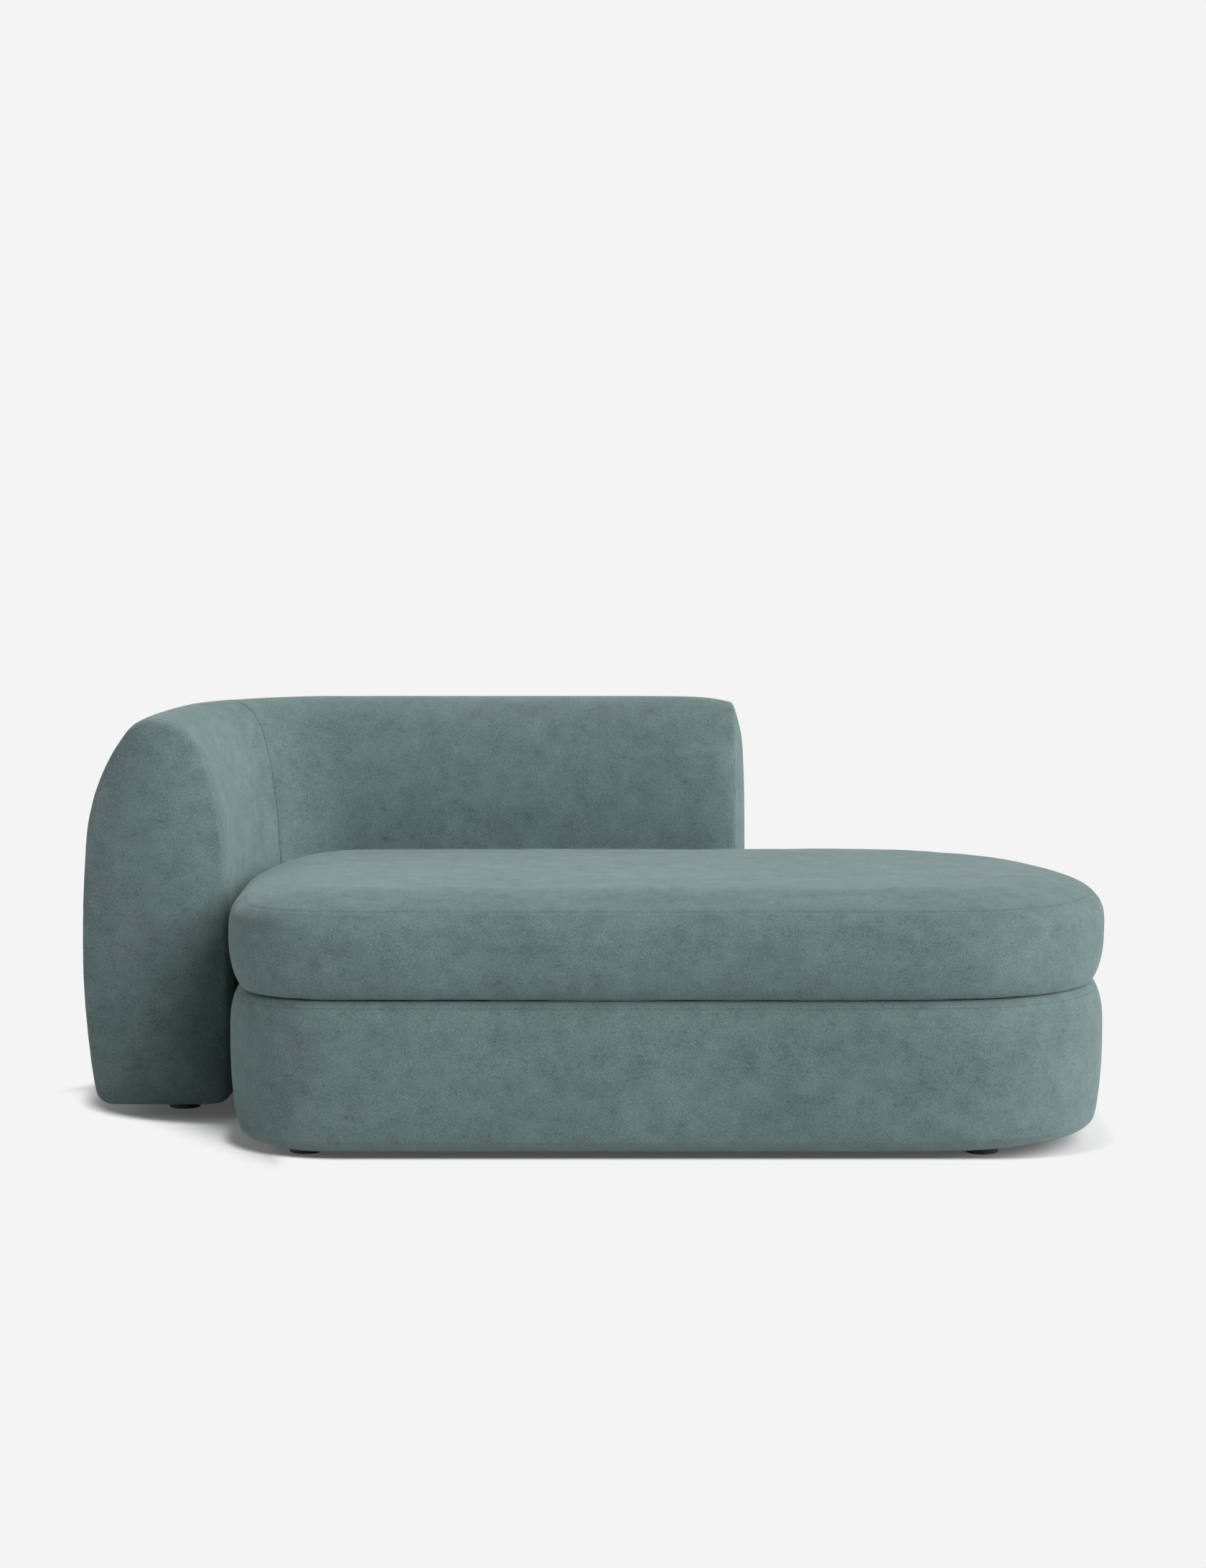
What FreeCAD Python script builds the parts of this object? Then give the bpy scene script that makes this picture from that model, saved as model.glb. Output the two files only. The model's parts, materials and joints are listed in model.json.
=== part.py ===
import FreeCAD, Part
import math
import os

# Chaise longue: an upholstered seat unit with a loose seat cushion, and a thick upholstered
# backrest that runs along the back and wraps round the left end as an arm.
# Millimetres. +X is to the right of someone facing the chaise, +Y is towards the back, +Z is up.
# The origin is on the floor, under the middle of the whole chaise.

# Seat unit, seen from above at its widest level. A corner is arcs, in the order in which the
# outline is walked anticlockwise; the last turn takes what is left of the quarter turn.
SEAT_LENGTH = 1516.0
SEAT_DEPTH = 852.0
SEAT_RIGHT_STRAIGHT = 20.0
FRONT_RIGHT_RADII = (1350.0, 290.0, 1100.0)
FRONT_RIGHT_TURNS = (7.5, 75.0)
BACK_LEFT_RADII = (950.0, 198.0, 1230.0)
BACK_LEFT_TURNS = (3.0, 75.5)
FRONT_LEFT_RADII = (1535.0, 170.0, 1545.0)
FRONT_LEFT_TURNS = (7.4, 78.9)

# Seat base, seen from the side: arcs from its flat underside out to its widest level, and
# from its upright side in to its flat top
FABRIC_CLEARANCE = 14.0
SEAT_BASE_TOP = 277.7
BASE_BOTTOM_RADII = (180.0, 50.0, 12.0, 833.0)
BASE_BOTTOM_TURNS = (18.0, 30.0, 33.0)
BASE_TOP_RADII = (150.0, 40.0, 6.0)
BASE_TOP_TURNS = (20.0, 25.0)
BASE_SEAM_BELOW_TOP = 11.5

# Seat cushion, in the same way; the last arc of its top is as large as the rim needs
CUSHION_GAP = 0.5
CUSHION_OVERHANG = 2.0
CUSHION_BOTTOM_RADII = (7.0, 45.0, 172.0)
CUSHION_BOTTOM_TURNS = (45.0, 25.0)
CUSHION_SIDE_HEIGHT = 44.5
CUSHION_TOP_RADII = (22.0, 85.0)
CUSHION_TOP_TURNS = (40.0, 30.0)
CUSHION_TOP_SEAM_RISE = 31.0
CUSHION_BOTTOM_SEAM_RISE = 5.0
CUSHION_LEVEL_MARGIN = 5.0
CORE_SIDE_INSET = 24.0
CORE_WRAP = 18.0
CORE_BOTTOM_RADIUS = 12.0
CORE_TOP_RADIUS = 30.0
CORE_TOP_TURN = 55.0

# Backrest, seen from above: it starts at the arm's front end and ends at the right end of the back
SEAT_TO_BACK_GAP = 5.0
SEAT_TO_ARM_GAP = 12.0
ARM_STRAIGHT = 10.0
ARM_CORNER_RADII = (1150.0, 280.0)
ARM_CORNER_TURNS = (15.7,)
BACK_STRAIGHT = 722.0
CORNER_SEAM_TURN = 40.0

# Backrest, its arched section: flank, shoulder and crown of each side, and the outer side's lean
BACK_HEIGHT = 716.0
BACK_INNER_HALF = 131.0
BACK_OUTER_HALF = 129.0
BACK_FLANK_RADIUS = 2150.0
BACK_FLANK_TURN = 5.3
BACK_INNER_SHOULDER_TURN = 15.8
BACK_INNER_CROWN_RADIUS = 91.0
BACK_OUTER_SHOULDER_TURN = 31.2
BACK_OUTER_CROWN_RADIUS = 67.0
BACK_OUTER_LEAN_RADIUS = 1600.0
BACK_BOTTOM_RADIUS = 30.0
END_RADII = (14.0, 26.0)
END_TURNS = (35.0, 30.0)
END_LEVEL_MARGIN = 4.0

# Upholstery layers
FABRIC = 2.0
LAYER_GAP = 0.3
BASE_FOAM = 42.0
BACK_FOAM = 28.0
END_FOAM = 30.0
BASE_TURN_IN = 2.0
BACK_TURN_IN_REACH = 52.0
DUST_COVER = 0.5
DECK_PAD = 4.3

# Timber frame
BOARD = 4.0
PLY = 18.0
FRAME_UNDERSIDE = 26.0
SEAT_RIB_COUNT = 5
SEAT_RIB_SPACING = 280.0
SEAT_RIB_HOLE_RADIUS = 55.0
SEAT_RIB_HOLE_SPACING = 260.0
DECK_RAIL_WIDTH = 70.0
DECK_END_LENGTH = 330.0
BACK_RAIL_BELOW_TOP = 98.0
BACK_RIB_COUNT = 7
BACK_RIB_HOLE_RADIUS = 45.0
BACK_RIB_HOLE_COUNT = 3
BACK_RIB_HOLE_PITCH = 150.0

# Webbing across the seat
WEB_COUNT = 7
WEB_PITCH = 150.0
WEB_WIDTH = 70.0
WEB_THICKNESS = 2.5

# Bolts that join the seat unit and the backrest
JOIN_BOLT_RADIUS = 4.0
JOIN_BOLT_HEIGHT = 150.0
JOIN_BOLT_COUNT = 3
JOIN_BOLT_PITCH = 210.0
JOIN_HEAD_RADIUS = 9.0
JOIN_HEAD_HEIGHT = 5.5
JOIN_RAIL_FROM_LEFT = 267.0
JOIN_RAIL_LENGTH = 500.0
HOLE_CLEARANCE = 0.3

# Feet and their screws
FOOT_RADIUS = 28.0
FOOT_EDGE = 2.0
FOOT_RECESS_RADIUS = 7.0
FOOT_RECESS_DEPTH = 10.0
SCREW_RADIUS = 3.0
SCREW_HEAD_RADIUS = 6.0
SCREW_HEAD_HEIGHT = 4.0
SCREW_BITE = 14.0
FRONT_LEFT_FOOT_IN = (136.0, 168.0)
FRONT_RIGHT_FOOT_IN = (224.0, 164.0)
BACK_LEFT_FOOT_IN = (150.0, 196.0)
BACK_RIGHT_FOOT_IN = 148.0
BACK_RIGHT_FOOT_TURN = 58.0
BACK_FOOT_DISTANCES = (150.0, 620.0, 920.0, 1230.0)
BACK_FOOT_TOWARDS_SEAT = 22.0

UP = FreeCAD.Vector(0, 0, 1)


def vector(x, y, z=0.0):
    return FreeCAD.Vector(x, y, z)


def polar(reach, degrees):
    return vector(reach * math.cos(math.radians(degrees)), reach * math.sin(math.radians(degrees)))


# Walked lines: a route is a start, a heading in degrees and steps.
# A step is ("line", length) or ("arc", radius, turn), where a turn to the left is positive.


def arcs(radii, turns):
    """Radius and turn of each arc of a quarter turn; the last turn is what is left of it."""
    return list(zip(radii, tuple(turns) + (90.0 - sum(turns),)))


def arc_steps(quarter, side=1):
    return [("arc", radius, side * turn) for radius, turn in quarter]


def step_length(step):
    if step[0] == "line":
        return step[1]
    return step[1] * math.radians(abs(step[2]))


def advance(point, heading, step):
    """Where one step leads from a point: the next point, the next heading and the halfway point."""
    x, y = point
    angle = math.radians(heading)
    if step[0] == "line":
        end = (x + step[1] * math.cos(angle), y + step[1] * math.sin(angle))
        return end, heading, ((x + end[0]) / 2, (y + end[1]) / 2)
    radius, turn = step[1], step[2]
    side = 1 if turn > 0 else -1
    centre = (x - side * radius * math.sin(angle), y + side * radius * math.cos(angle))

    def on_arc(degrees):
        a = math.radians(heading + degrees)
        return (centre[0] + side * radius * math.sin(a), centre[1] - side * radius * math.cos(a))

    return on_arc(turn), heading + turn, on_arc(turn / 2)


def reach(quarter):
    """How far a quarter turn of arcs goes ahead, and how far sideways."""
    point, heading = (0.0, 0.0), 0.0
    for radius, turn in quarter:
        point, heading, _ = advance(point, heading, ("arc", radius, turn))
    return point


def walk(start, heading, steps, inset=0.0, height=0.0):
    """Level edges along the steps, moved to their left by inset, and the point where they end."""
    angle = math.radians(heading)
    point = (start[0] - inset * math.sin(angle), start[1] + inset * math.cos(angle))
    edges = []
    for step in steps:
        if step[0] == "arc":
            radius = step[1] - inset if step[2] > 0 else step[1] + inset
            if radius < 1e-6:
                heading += step[2]
                continue
            step = ("arc", radius, step[2])
        elif step[1] < 1e-6:
            continue
        end, heading_after, middle = advance(point, heading, step)
        low, high = vector(*point, height), vector(*end, height)
        if step[0] == "line":
            edges.append(Part.makeLine(low, high))
        else:
            edges.append(Part.Arc(low, vector(*middle, height), high).toShape())
        point, heading = end, heading_after
    return edges, point


# The seat's outline and the backrest's ridge line

FRONT_RIGHT = arcs(FRONT_RIGHT_RADII, FRONT_RIGHT_TURNS)
BACK_LEFT = arcs(BACK_LEFT_RADII, BACK_LEFT_TURNS)
FRONT_LEFT = arcs(FRONT_LEFT_RADII, FRONT_LEFT_TURNS)
ARM_CORNER = arcs(ARM_CORNER_RADII, ARM_CORNER_TURNS)
BACK_RIGHT_RADIUS = SEAT_DEPTH - reach(FRONT_RIGHT)[1] - SEAT_RIGHT_STRAIGHT

# The seat's middle is put so that the whole chaise is centred on the origin
RIDGE_LEFT_OF_SEAT = SEAT_LENGTH / 2 + CUSHION_OVERHANG + SEAT_TO_ARM_GAP + BACK_INNER_HALF
RIDGE_BEHIND_SEAT = SEAT_DEPTH / 2 + CUSHION_OVERHANG + SEAT_TO_BACK_GAP + BACK_INNER_HALF
SEAT_X = (RIDGE_LEFT_OF_SEAT + BACK_OUTER_HALF - SEAT_LENGTH / 2 - CUSHION_OVERHANG) / 2
SEAT_Y = -(RIDGE_BEHIND_SEAT + BACK_OUTER_HALF - SEAT_DEPTH / 2 - CUSHION_OVERHANG) / 2
SEAT_LEFT = SEAT_X - SEAT_LENGTH / 2
SEAT_RIGHT = SEAT_X + SEAT_LENGTH / 2
SEAT_FRONT = SEAT_Y - SEAT_DEPTH / 2
SEAT_BACK = SEAT_Y + SEAT_DEPTH / 2
RIDGE_X = SEAT_X - RIDGE_LEFT_OF_SEAT
RIDGE_Y = SEAT_Y + RIDGE_BEHIND_SEAT

SEAT_START = (SEAT_LEFT + reach(FRONT_LEFT)[1], SEAT_FRONT)
SEAT_STEPS = [("line", SEAT_LENGTH - reach(FRONT_LEFT)[1] - reach(FRONT_RIGHT)[0])]
SEAT_STEPS += arc_steps(FRONT_RIGHT)
SEAT_STEPS += [("line", SEAT_RIGHT_STRAIGHT), ("arc", BACK_RIGHT_RADIUS, 90.0)]
SEAT_STEPS += [("line", SEAT_LENGTH - BACK_RIGHT_RADIUS - reach(BACK_LEFT)[0])]
SEAT_STEPS += arc_steps(BACK_LEFT)
SEAT_STEPS += [("line", SEAT_DEPTH - reach(BACK_LEFT)[1] - reach(FRONT_LEFT)[0])]
SEAT_STEPS += arc_steps(FRONT_LEFT)

RIDGE_START = (RIDGE_X, RIDGE_Y - reach(ARM_CORNER)[0] - ARM_STRAIGHT)
RIDGE_STEPS = [("line", ARM_STRAIGHT)] + arc_steps(ARM_CORNER, -1) + [("line", BACK_STRAIGHT)]
RIDGE_LENGTH = sum(step_length(step) for step in RIDGE_STEPS)
CORNER_SEAM = sum(step_length(step) for step in RIDGE_STEPS[:2])
CORNER_SEAM += step_length(("arc", ARM_CORNER_RADII[1], CORNER_SEAM_TURN - ARM_CORNER_TURNS[0]))

# Heights and insets of the layers
BASE_BOTTOM = arcs(BASE_BOTTOM_RADII, BASE_BOTTOM_TURNS)
BASE_TOP = arcs(BASE_TOP_RADII, BASE_TOP_TURNS)
BASE_OPENING = reach(BASE_BOTTOM)[0] + BASE_TURN_IN
BASE_INNER = FABRIC + LAYER_GAP + BASE_FOAM + LAYER_GAP
BASE_FRAME = BASE_INNER + BOARD + LAYER_GAP
FLOOR_TOP = FRAME_UNDERSIDE + PLY
DUST_COVER_TOP = FRAME_UNDERSIDE - LAYER_GAP
DECK_PAD_TOP = SEAT_BASE_TOP - FABRIC - LAYER_GAP
WEB_TOP = DECK_PAD_TOP - DECK_PAD - LAYER_GAP
DECK_TOP = WEB_TOP - WEB_THICKNESS - LAYER_GAP
DECK_BOTTOM = DECK_TOP - PLY
BACK_CAVITY = FABRIC + LAYER_GAP + BACK_FOAM
BACK_BOARD = BACK_CAVITY + LAYER_GAP
BACK_FRAME = BACK_BOARD + BOARD + LAYER_GAP
BACK_RAIL_TOP = BACK_HEIGHT - BACK_RAIL_BELOW_TOP
BACK_RAIL_BOTTOM = BACK_RAIL_TOP - PLY
CUSHION_RIM = FRONT_LEFT_RADII[1] - CUSHION_LEVEL_MARGIN
END_RIM = BACK_BOTTOM_RADIUS - END_LEVEL_MARGIN


def level_arcs(radii, turns, depth):
    """A quarter turn from upright to level that reaches depth inwards; its last radius is solved."""
    known, heading = 0.0, 0.0
    for radius, turn in zip(radii, turns):
        known += radius * (math.cos(math.radians(heading)) - math.cos(math.radians(heading + turn)))
        heading += turn
    return arcs(radii + ((depth - known) / math.cos(math.radians(heading)),), turns)


CUSHION_BOTTOM = arcs(CUSHION_BOTTOM_RADII, CUSHION_BOTTOM_TURNS)
CUSHION_TOP = level_arcs(CUSHION_TOP_RADII, CUSHION_TOP_TURNS, CUSHION_RIM + CUSHION_OVERHANG)
CORE_TOP = level_arcs((CORE_TOP_RADIUS,), (CORE_TOP_TURN,), CUSHION_RIM - CORE_SIDE_INSET)
END_EDGE = level_arcs(END_RADII, END_TURNS, END_RIM)
CUSHION_LOW = SEAT_BASE_TOP + CUSHION_GAP
CUSHION_SIDE_TOP = CUSHION_LOW + reach(CUSHION_BOTTOM)[1] + CUSHION_SIDE_HEIGHT
CUSHION_HIGH = CUSHION_SIDE_TOP + reach(CUSHION_TOP)[0]
CORE_LOW = CUSHION_LOW + FABRIC + LAYER_GAP + CORE_WRAP
CORE_HIGH = CUSHION_HIGH - FABRIC - LAYER_GAP - CORE_WRAP
END_BULGE = reach(END_EDGE)[0]


# Flat sections, drawn level: across the piece, then up it


def closed_face(edges):
    """The face inside edges, closed by one straight line where they are open."""
    first = edges[0].valueAt(edges[0].FirstParameter)
    last = edges[-1].valueAt(edges[-1].LastParameter)
    if first.distanceToPoint(last) > 1e-5:
        edges = edges + [Part.makeLine(last, first)]
    return Part.Face(Part.Wire(edges))


def oblong(across, up):
    """A flat oblong from its (low, high) pairs."""
    corners = [vector(across[0], up[0]), vector(across[1], up[0]), vector(across[1], up[1])]
    corners += [vector(across[0], up[1]), vector(across[0], up[0])]
    return Part.Face(Part.makePolygon(corners))


def soft_section(low, high, side, bottom_arcs, top_arcs, rim, skin=0.0):
    """Half the section of a soft solid, from rim out to its side, with its faces moved in by skin."""
    steps = [("line", rim - side - reach(bottom_arcs)[0])] + arc_steps(bottom_arcs, -1)
    steps += [("line", high - low - reach(bottom_arcs)[1] - reach(top_arcs)[0])]
    steps += arc_steps(top_arcs, -1)
    steps += [("line", rim - side - reach(top_arcs)[1])]
    return closed_face(walk((rim, low), 180.0, steps, -skin)[0])


def base_section(skin=0.0):
    return soft_section(FABRIC_CLEARANCE, SEAT_BASE_TOP, 0.0, BASE_BOTTOM, BASE_TOP, BASE_OPENING, skin)


def cushion_section(skin=0.0):
    return soft_section(
        CUSHION_LOW, CUSHION_HIGH, -CUSHION_OVERHANG, CUSHION_BOTTOM, CUSHION_TOP, CUSHION_RIM, skin
    )


def core_section(skin=0.0):
    bottom = [(CORE_BOTTOM_RADIUS, 90.0)]
    return soft_section(CORE_LOW, CORE_HIGH, CORE_SIDE_INSET, bottom, CORE_TOP, CUSHION_RIM, skin)


def end_section(skin=0.0):
    """Half the section of the pillow on an end of the backrest: across is inwards, up is outwards."""
    edges, end = walk((0.0, 0.0), 90.0, arc_steps(END_EDGE, -1), -skin)
    edges += [Part.makeLine(vector(*end), vector(END_RIM, 0.0))]
    return closed_face(edges)


def shoulder_radius(half, crown_radius, shoulder_turn):
    """The radius between flank and crown that makes one side of the arch exactly half wide."""
    flank = math.cos(math.radians(BACK_FLANK_TURN))
    crown = math.cos(math.radians(BACK_FLANK_TURN + shoulder_turn))
    return (half - BACK_FLANK_RADIUS * (1 - flank) - crown_radius * crown) / (flank - crown)


def side_arcs(half, crown_radius, shoulder_turn):
    """Arcs of one side of the arch, from the upright flank to the level crown."""
    shoulder = shoulder_radius(half, crown_radius, shoulder_turn)
    return arcs((BACK_FLANK_RADIUS, shoulder, crown_radius), (BACK_FLANK_TURN, shoulder_turn))


INNER_SIDE = side_arcs(BACK_INNER_HALF, BACK_INNER_CROWN_RADIUS, BACK_INNER_SHOULDER_TURN)
OUTER_SIDE = side_arcs(BACK_OUTER_HALF, BACK_OUTER_CROWN_RADIUS, BACK_OUTER_SHOULDER_TURN)


def arch_route(inset, low):
    """The arch as a start and steps, drawn in by inset, with its underside at low.
    Across is towards the seat, and the ridge line is at 0."""
    corner = max(BACK_BOTTOM_RADIUS - inset, 0.0)
    lean_radius = BACK_OUTER_LEAN_RADIUS - inset
    outer_top = BACK_HEIGHT - reach(OUTER_SIDE)[0]
    lean = math.asin((outer_top - low - corner) / (lean_radius - corner))
    outer = inset - BACK_OUTER_HALF + (lean_radius - corner) * (1 - math.cos(lean))
    steps = [("line", BACK_INNER_HALF - inset - outer - 2 * corner), ("arc", corner, 90.0)]
    steps += [("line", BACK_HEIGHT - reach(INNER_SIDE)[0] - low - corner)]
    steps += [("arc", radius - inset, turn) for radius, turn in INNER_SIDE]
    steps += [("arc", radius - inset, turn) for radius, turn in reversed(OUTER_SIDE)]
    steps += [("arc", lean_radius, math.degrees(lean)), ("arc", corner, 90.0 - math.degrees(lean))]
    return (outer + corner, low), steps


def arch(inset, low):
    start, steps = arch_route(inset, low)
    return closed_face(walk(start, 0.0, steps)[0])


# Solids


def box(x, y, z):
    """A box from its (low, high) pairs."""
    return Part.makeBox(x[1] - x[0], y[1] - y[0], z[1] - z[0], vector(x[0], y[0], z[0]))


def rod(radius, length, start, along=UP):
    return Part.makeCylinder(radius, length, start, along)


def cut_all(shape, tools):
    for tool in tools:
        shape = shape.cut(tool)
    return shape


def seat_prism(inset, low, high):
    """The seat's outline drawn in by inset, between two heights."""
    edges = walk(SEAT_START, 0.0, SEAT_STEPS, inset, low)[0]
    return closed_face(edges).extrude(vector(0, 0, high - low))


def placed(shape, origin, across, rise):
    """A flat section or line at a place, with its across and up turned to two directions."""
    third = across.cross(rise)
    matrix = FreeCAD.Matrix(
        across.x, rise.x, third.x, origin.x,
        across.y, rise.y, third.y, origin.y,
        across.z, rise.z, third.z, origin.z,
        0, 0, 0, 1,
    )
    moved = shape.copy()
    moved.Placement = FreeCAD.Placement(matrix)
    return moved


def sweep(section, start, heading, steps, plane, rise, side=1):
    """The solid that a section makes along a route drawn in a plane (origin, right, upwards).
    Across the section is to the left of the route, or to its right where side is -1."""
    origin, right, upwards = plane
    angle = math.radians(heading)
    forward = right * math.cos(angle) + upwards * math.sin(angle)
    left = right.cross(upwards).cross(forward)
    base = origin + right * start[0] + upwards * start[1]
    route = placed(Part.Wire(walk(start, heading, steps)[0]), origin, right, upwards)
    return route.makePipe(placed(section, base, left * side, rise).Faces[0])


GROUND = (vector(0, 0, 0), vector(1, 0, 0), vector(0, 1, 0))


def seat_ring(section):
    """A section swept once round the seat's outline."""
    return sweep(section, SEAT_START, 0.0, SEAT_STEPS, GROUND, UP)


def ridge_part(start, end):
    """The stretch of the ridge line between two distances along it."""
    point, heading = RIDGE_START, 90.0
    kept = []
    origin = None
    done = 0.0
    for step in RIDGE_STEPS:
        length = step_length(step)
        low = max(start - done, 0.0)
        high = min(end - done, length)
        if high - low > 1e-6:
            if step[0] == "line":
                before, part = ("line", low), ("line", high - low)
            else:
                before = ("arc", step[1], step[2] * low / length)
                part = ("arc", step[1], step[2] * (high - low) / length)
            if origin is None:
                origin = advance(point, heading, before)[:2] if low > 0 else (point, heading)
            kept.append(part)
        point, heading, _ = advance(point, heading, step)
        done += length
    return origin[0], origin[1], kept


def ridge_sweep(section, start, end):
    """A section swept between two distances along the ridge line, its across towards the seat."""
    point, heading, steps = ridge_part(start, end)
    return sweep(section, point, heading, steps, GROUND, UP, -1)


def ridge_frame(distance):
    """Place, forward and towards the seat at a distance along the ridge line."""
    if distance < RIDGE_LENGTH:
        point, heading, _ = ridge_part(distance, RIDGE_LENGTH)
    else:
        point, heading = (RIDGE_X + reach(ARM_CORNER)[1] + BACK_STRAIGHT, RIDGE_Y), 0.0
    angle = math.radians(heading)
    forward = vector(math.cos(angle), math.sin(angle))
    return vector(*point), forward, forward.cross(UP)


def end_pillow(section, low, high, distance, outwards):
    """A section swept round the arch on an end of the backrest, and filled between two depths."""
    origin, forward, seatward = ridge_frame(distance)
    out = forward * outwards
    start, steps = arch_route(0.0, FABRIC_CLEARANCE)
    ring = sweep(section, start, 0.0, steps, (origin, seatward, UP), out)
    start, steps = arch_route(END_RIM, FABRIC_CLEARANCE + END_RIM)
    middle = closed_face(walk(start, 0.0, steps)[0])
    middle = placed(middle, origin + out * low, seatward, UP)
    return ring.fuse(middle.extrude(out * (high - low))).removeSplitter()


PARTS = {}


def keep(name, shape):
    """Store a piece under its name, as a bare solid where it is one."""
    PARTS[name] = shape.Solids[0] if len(shape.Solids) == 1 else shape


# Places of the feet and of the joining bolts

BACK_RIGHT_CENTRE = vector(SEAT_RIGHT - BACK_RIGHT_RADIUS, SEAT_BACK - BACK_RIGHT_RADIUS)
SEAT_FEET = {
    "front_left": vector(SEAT_LEFT + FRONT_LEFT_FOOT_IN[0], SEAT_FRONT + FRONT_LEFT_FOOT_IN[1]),
    "front_right": vector(SEAT_RIGHT - FRONT_RIGHT_FOOT_IN[0], SEAT_FRONT + FRONT_RIGHT_FOOT_IN[1]),
    "back_left": vector(SEAT_LEFT + BACK_LEFT_FOOT_IN[0], SEAT_BACK - BACK_LEFT_FOOT_IN[1]),
    "back_right": BACK_RIGHT_CENTRE + polar(BACK_RIGHT_RADIUS - BACK_RIGHT_FOOT_IN, BACK_RIGHT_FOOT_TURN),
}


def back_foot_spot(distance):
    origin, _, seatward = ridge_frame(distance)
    return origin + seatward * BACK_FOOT_TOWARDS_SEAT


BACK_FOOT_NAMES = ("arm", "corner", "middle", "right")
BACK_FEET = {name: back_foot_spot(far) for name, far in zip(BACK_FOOT_NAMES, BACK_FOOT_DISTANCES)}
JOIN_RAIL_X = (SEAT_LEFT + JOIN_RAIL_FROM_LEFT, SEAT_LEFT + JOIN_RAIL_FROM_LEFT + JOIN_RAIL_LENGTH)
JOIN_MIDDLE = sum(JOIN_RAIL_X) / 2
JOIN_BOLT_X = [
    JOIN_MIDDLE + (number - (JOIN_BOLT_COUNT - 1) / 2) * JOIN_BOLT_PITCH for number in range(JOIN_BOLT_COUNT)
]
SEAT_BACK_RAIL_Y = (SEAT_BACK - BASE_FRAME - PLY, SEAT_BACK - BASE_FRAME)
SEAT_FRONT_RAIL_Y = (SEAT_FRONT + BASE_FRAME, SEAT_FRONT + BASE_FRAME + PLY)
BACK_RAIL_Y = (RIDGE_Y - BACK_INNER_HALF + BACK_FRAME, RIDGE_Y - BACK_INNER_HALF + BACK_FRAME + PLY)
RAIL_Z = (FLOOR_TOP, DECK_BOTTOM)
BACKWARDS = vector(0, 1)


def join_rod(radius, start_y, end_y):
    """Cylinders on the axes of the joining bolts."""
    length = end_y - start_y
    return [rod(radius, length, vector(x, start_y, JOIN_BOLT_HEIGHT), BACKWARDS) for x in JOIN_BOLT_X]


JOIN_HOLES = join_rod(JOIN_BOLT_RADIUS + HOLE_CLEARANCE, SEAT_BACK_RAIL_Y[0], BACK_RAIL_Y[1])


def screw_hole(spot, low):
    return rod(SCREW_RADIUS + HOLE_CLEARANCE, FRAME_UNDERSIDE + SCREW_BITE - low, spot + UP * low)


def foot(spot):
    puck = rod(FOOT_RADIUS, FRAME_UNDERSIDE, spot)
    rims = [edge for edge in puck.Edges if edge.Closed and edge.CenterOfMass.z < FOOT_EDGE]
    puck = puck.makeFillet(FOOT_EDGE, rims)
    puck = puck.cut(rod(FOOT_RECESS_RADIUS, FOOT_RECESS_DEPTH, spot))
    return puck.cut(screw_hole(spot, FOOT_RECESS_DEPTH))


def foot_screw(spot):
    head = rod(SCREW_HEAD_RADIUS, SCREW_HEAD_HEIGHT, spot + UP * (FOOT_RECESS_DEPTH - SCREW_HEAD_HEIGHT))
    length = FRAME_UNDERSIDE + SCREW_BITE - FOOT_RECESS_DEPTH
    shank = rod(SCREW_RADIUS, length, spot + UP * FOOT_RECESS_DEPTH)
    return head.fuse(shank)


def dust_cover(sheet, feet):
    """A thin sheet under a frame, with room for the feet."""
    rooms = [rod(FOOT_RADIUS + HOLE_CLEARANCE, FRAME_UNDERSIDE, spot) for spot in feet.values()]
    return cut_all(sheet, rooms)


def build_seat_frame():
    plate = seat_prism(BASE_FRAME, FRAME_UNDERSIDE, FLOOR_TOP)
    holes = [screw_hole(spot, FRAME_UNDERSIDE) for spot in SEAT_FEET.values()]
    keep("seat_bottom_plate", cut_all(plate, holes))
    board = seat_ring(oblong((BASE_INNER, BASE_INNER + BOARD), (FRAME_UNDERSIDE, DECK_TOP)))
    keep("seat_skirt_board", cut_all(board, JOIN_HOLES))
    keep("seat_back_rail", cut_all(box(JOIN_RAIL_X, SEAT_BACK_RAIL_Y, RAIL_Z), JOIN_HOLES))
    keep("seat_front_rail", box(JOIN_RAIL_X, SEAT_FRONT_RAIL_Y, RAIL_Z))

    inside = seat_prism(BASE_FRAME + LAYER_GAP, *RAIL_Z)
    rail_x = (JOIN_RAIL_X[0] - LAYER_GAP, JOIN_RAIL_X[1] + LAYER_GAP)
    rooms = [box(rail_x, (SEAT_FRONT, SEAT_FRONT_RAIL_Y[1] + LAYER_GAP), RAIL_Z)]
    rooms += [box(rail_x, (SEAT_BACK_RAIL_Y[0] - LAYER_GAP, SEAT_BACK), RAIL_Z)]
    for number in range(SEAT_RIB_COUNT):
        x = SEAT_X + (number - (SEAT_RIB_COUNT - 1) / 2) * SEAT_RIB_SPACING
        rib = inside.common(box((x - PLY / 2, x + PLY / 2), (SEAT_FRONT, SEAT_BACK), RAIL_Z))
        for side in (-0.5, 0.5):
            start = vector(x - PLY, SEAT_Y + side * SEAT_RIB_HOLE_SPACING, sum(RAIL_Z) / 2)
            rib = rib.cut(rod(SEAT_RIB_HOLE_RADIUS, 2 * PLY, start, vector(1, 0)))
        keep("seat_rib_%d" % (number + 1), cut_all(rib, rooms))


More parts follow.
